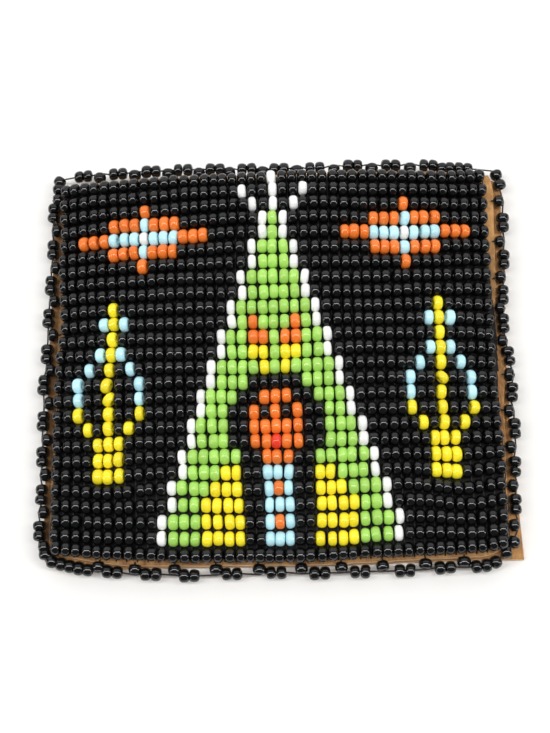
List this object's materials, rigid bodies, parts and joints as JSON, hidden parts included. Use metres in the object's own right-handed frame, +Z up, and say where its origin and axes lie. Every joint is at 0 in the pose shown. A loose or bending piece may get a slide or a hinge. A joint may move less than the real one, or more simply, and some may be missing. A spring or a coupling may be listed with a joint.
{
  "type": "beaded medicine bag",
  "caption": "Small flat leather pouch with an open mouth, its front covered by a loom-woven seed bead panel with a tipi, stars and plants, and a beaded edging all round.",
  "frame": {"origin": "middle of the bag's box, on the underside of the back leather", "axes": "+X across the bag to the viewer's right, +Y towards the mouth, +Z up out of the beaded face"},
  "size_m": [0.0748, 0.067, 0.0106],
  "materials": {
    "black_beads": "opaque glossy glass",
    "white_beads": "opaque glossy glass",
    "green_beads": "opaque glossy glass",
    "orange_beads": "opaque glossy glass",
    "yellow_beads": "opaque glossy glass",
    "blue_beads": "opaque glossy glass",
    "red_beads": "opaque glossy glass",
    "leather": "soft brown suede, natural cut edges"
  },
  "bodies": {
    "root": {"back_panel": "leather", "door_flap_left": "yellow_beads", "door_flap_right": "yellow_beads", "edging_bottom": "black_beads", "edging_left": "black_beads", "edging_right": "black_beads", "edging_top": "black_beads", "eye_left": "black_beads", "eye_right": "black_beads", "face_beads": "orange_beads", "front_panel": "leather", "ground_beads": "black_beads", "mouth_bead": "red_beads", "plant_left_bud_inner": "blue_beads", "plant_left_bud_outer": "blue_beads", "plant_left_hollow_inner": "black_beads", "plant_left_hollow_outer": "black_beads", "plant_left_leaf_inner": "blue_beads", "plant_left_leaf_outer": "blue_beads", "plant_left_stalk": "yellow_beads", "plant_right_bud_inner": "blue_beads", "plant_right_bud_outer": "blue_beads", "plant_right_hollow_inner": "black_beads", "plant_right_hollow_outer": "black_beads", "plant_right_leaf_inner": "blue_beads", "plant_right_leaf_outer": "blue_beads", "plant_right_stalk": "yellow_beads", "shirt_beads": "blue_beads", "shirt_button_lower": "orange_beads", "shirt_button_upper": "orange_beads", "smoke_mark_orange_left": "orange_beads", "smoke_mark_orange_right": "orange_beads", "smoke_mark_yellow_left": "yellow_beads", "smoke_mark_yellow_right": "yellow_beads", "star_left_centre": "white_beads", "star_left_core": "blue_beads", "star_left_rim": "orange_beads", "star_right_centre": "white_beads", "star_right_core": "blue_beads", "star_right_rim": "orange_beads", "tipi_cover_beads": "green_beads", "tipi_outline_beads": "white_beads"}
  },
  "joints": []
}
